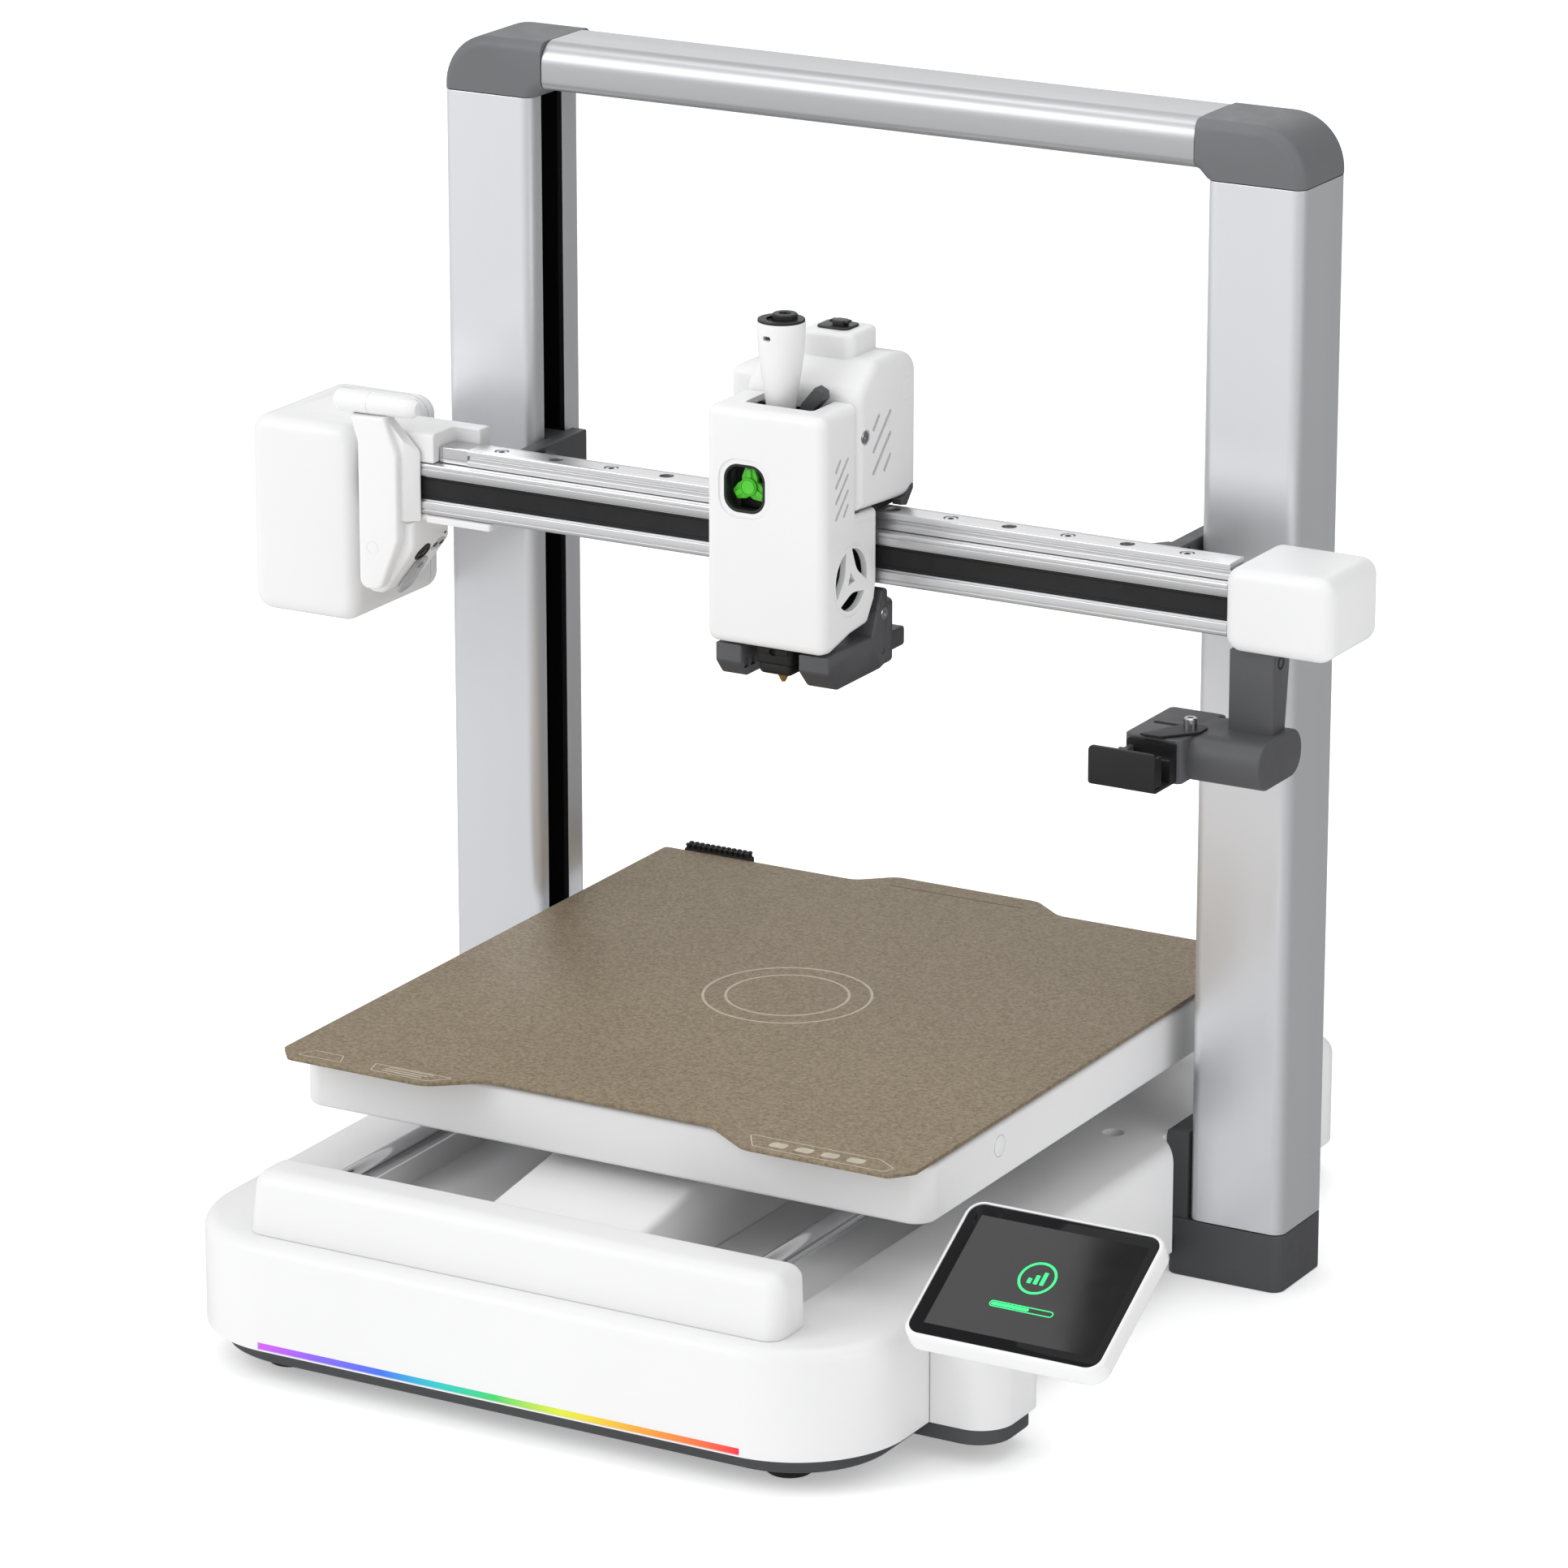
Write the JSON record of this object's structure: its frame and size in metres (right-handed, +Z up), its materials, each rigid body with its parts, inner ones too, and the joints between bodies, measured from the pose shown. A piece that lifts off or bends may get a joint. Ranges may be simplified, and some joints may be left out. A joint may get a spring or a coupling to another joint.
{
  "type": "fdm printer",
  "caption": "Desktop fused-filament 3D printer with a portal frame, sliding bed, lifting gantry, enclosed print head and tilting screen.",
  "frame": {"origin": "centre of the footprint's box, on the surface the printer stands on", "axes": "+X to the operator's right, -Y towards the operator, +Z up"},
  "size_m": [0.486, 0.423, 0.466],
  "materials": {
    "white_plastic": "satin white moulded ABS",
    "dark_grey_plastic": "fine-textured dark grey plastic",
    "cap_grey_plastic": "matte grey plastic",
    "black_plastic": "matte black plastic",
    "anodised_aluminium": "satin silver anodised",
    "ground_steel": "ground and polished",
    "brass": "machined",
    "textured_spring_steel": "bronze powder-textured sheet",
    "green_plastic": "bright green plastic",
    "display_glass": "glossy black cover lens",
    "clear_plastic": "smoky clear plastic",
    "light_diffuser": "translucent diffuser",
    "rubber": "soft black rubber"
  },
  "bodies": {
    "frame": {"base_shell": "white_plastic", "bottom_tray": "dark_grey_plastic", "foot_front_left": "rubber", "foot_front_right": "rubber", "foot_rear_left": "rubber", "foot_rear_right": "rubber", "light_bar": "light_diffuser", "front_rod_cover": "white_plastic", "centre_cover": "white_plastic", "rod_left": "ground_steel", "rod_right": "ground_steel", "y_motor": "black_plastic", "power_supply": "anodised_aluminium", "power_inlet": "black_plastic", "z_motor_left": "black_plastic", "z_motor_right": "black_plastic", "upright_left": "anodised_aluminium", "upright_right": "anodised_aluminium", "top_beam": "anodised_aluminium", "top_cap_left": "cap_grey_plastic", "top_cap_right": "cap_grey_plastic", "base_cap_left": "dark_grey_plastic", "base_cap_right": "dark_grey_plastic", "screen_pod": "white_plastic"},
    "power_switch": {"power_switch": "black_plastic"},
    "lead_screw_left": {"lead_screw_left": "ground_steel"},
    "lead_screw_right": {"lead_screw_right": "ground_steel"},
    "y_pulley": {"y_pulley": "anodised_aluminium"},
    "screen": {"screen_case": "white_plastic", "screen_glass": "display_glass"},
    "bed": {"bed_tray": "white_plastic", "heated_plate": "anodised_aluminium", "bearing_left": "black_plastic", "bearing_right": "black_plastic", "nozzle_brush": "black_plastic"},
    "print_plate": {"print_plate": "textured_spring_steel"},
    "gantry": {"x_rail": "anodised_aluminium", "x_belt": "black_plastic", "x_guide_rail": "ground_steel", "rail_clamp": "white_plastic", "motor_housing": "white_plastic", "x_motor": "black_plastic", "end_cap": "white_plastic", "z_carriage_left": "dark_grey_plastic", "z_carriage_right": "dark_grey_plastic", "camera_arm": "white_plastic", "wiper_arm": "dark_grey_plastic", "wiper_bracket": "black_plastic"},
    "lens_cover": {"lens_cover": "clear_plastic"},
    "x_pulley": {"x_pulley": "anodised_aluminium"},
    "head": {"head_front_shell": "white_plastic", "head_rear_shell": "white_plastic", "filament_funnel": "white_plastic", "x_carriage": "black_plastic", "hot_end": "black_plastic", "nozzle": "brass", "fan_duct": "dark_grey_plastic"},
    "part_fan": {"part_fan": "black_plastic"},
    "filament_spinner": {"filament_spinner": "green_plastic"},
    "release_lever": {"release_lever": "dark_grey_plastic"}
  },
  "joints": [
    {"name": "bed_slide", "type": "slide", "parent": "frame", "child": "bed", "axis": [0, 1, 0], "range_m": [-0.155, 0.105]},
    {"name": "plate_lift", "type": "slide", "parent": "bed", "child": "print_plate", "axis": [0, 0, 1], "range_m": [0, 0.05]},
    {"name": "gantry_lift", "type": "slide", "parent": "frame", "child": "gantry", "axis": [0, 0, 1], "range_m": [-0.138, 0.115]},
    {"name": "head_slide", "type": "slide", "parent": "gantry", "child": "head", "axis": [1, 0, 0], "range_m": [-0.14, 0.113]},
    {"name": "lead_screw_left_turn", "type": "hinge", "parent": "frame", "child": "lead_screw_left", "pos_m": [-0.166, 0.083, 0.0573], "axis": [0, 0, 1], "range_deg": [-6215, 5180]},
    {"name": "lead_screw_right_turn", "type": "hinge", "parent": "frame", "child": "lead_screw_right", "pos_m": [0.174, 0.083, 0.0573], "axis": [0, 0, 1], "range_deg": [-6215, 5180]},
    {"name": "y_pulley_turn", "type": "hinge", "parent": "frame", "child": "y_pulley", "pos_m": [0.0515, 0.1625, 0.0487], "axis": [1, 0, 0], "range_deg": [-950, 1400]},
    {"name": "x_pulley_turn", "type": "hinge", "parent": "gantry", "child": "x_pulley", "pos_m": [-0.218, 0.0285, 0.29425], "axis": [0, 0, 1], "range_deg": [-1265, 1022]},
    {"name": "screen_tilt", "type": "hinge", "parent": "frame", "child": "screen", "pos_m": [0.168, -0.1295, 0.076], "axis": [1, 0, 0], "range_deg": [-12, 20]},
    {"name": "power_switch_rock", "type": "hinge", "parent": "frame", "child": "power_switch", "pos_m": [0.132, 0.2055, 0.036], "axis": [1, 0, 0], "range_deg": [0, 7]},
    {"name": "lens_cover_swing", "type": "hinge", "parent": "gantry", "child": "lens_cover", "pos_m": [-0.17137, 0.0185, 0.25877], "axis": [0.8162, 0, -0.5778], "range_deg": [-100, 100]},
    {"name": "part_fan_spin", "type": "hinge", "parent": "head", "child": "part_fan", "pos_m": [0.04, -0.015, 0.2915], "axis": [1, 0, 0], "continuous": true},
    {"name": "filament_spinner_turn", "type": "hinge", "parent": "head", "child": "filament_spinner", "pos_m": [0.0115, -0.0305, 0.3276], "axis": [0, 1, 0], "continuous": true},
    {"name": "release_lever_tip", "type": "hinge", "parent": "head", "child": "release_lever", "pos_m": [0.0307, -0.0125, 0.352], "axis": [1, 0, 0], "range_deg": [0, 25]}
  ],
  "couplings": [
    {"joint": "lead_screw_left_turn", "follows": "gantry_lift", "rad_per_m": 785.4},
    {"joint": "lead_screw_right_turn", "follows": "gantry_lift", "rad_per_m": 785.4},
    {"joint": "y_pulley_turn", "follows": "bed_slide", "rad_per_m": -157.08},
    {"joint": "x_pulley_turn", "follows": "head_slide", "rad_per_m": 157.08}
  ]
}
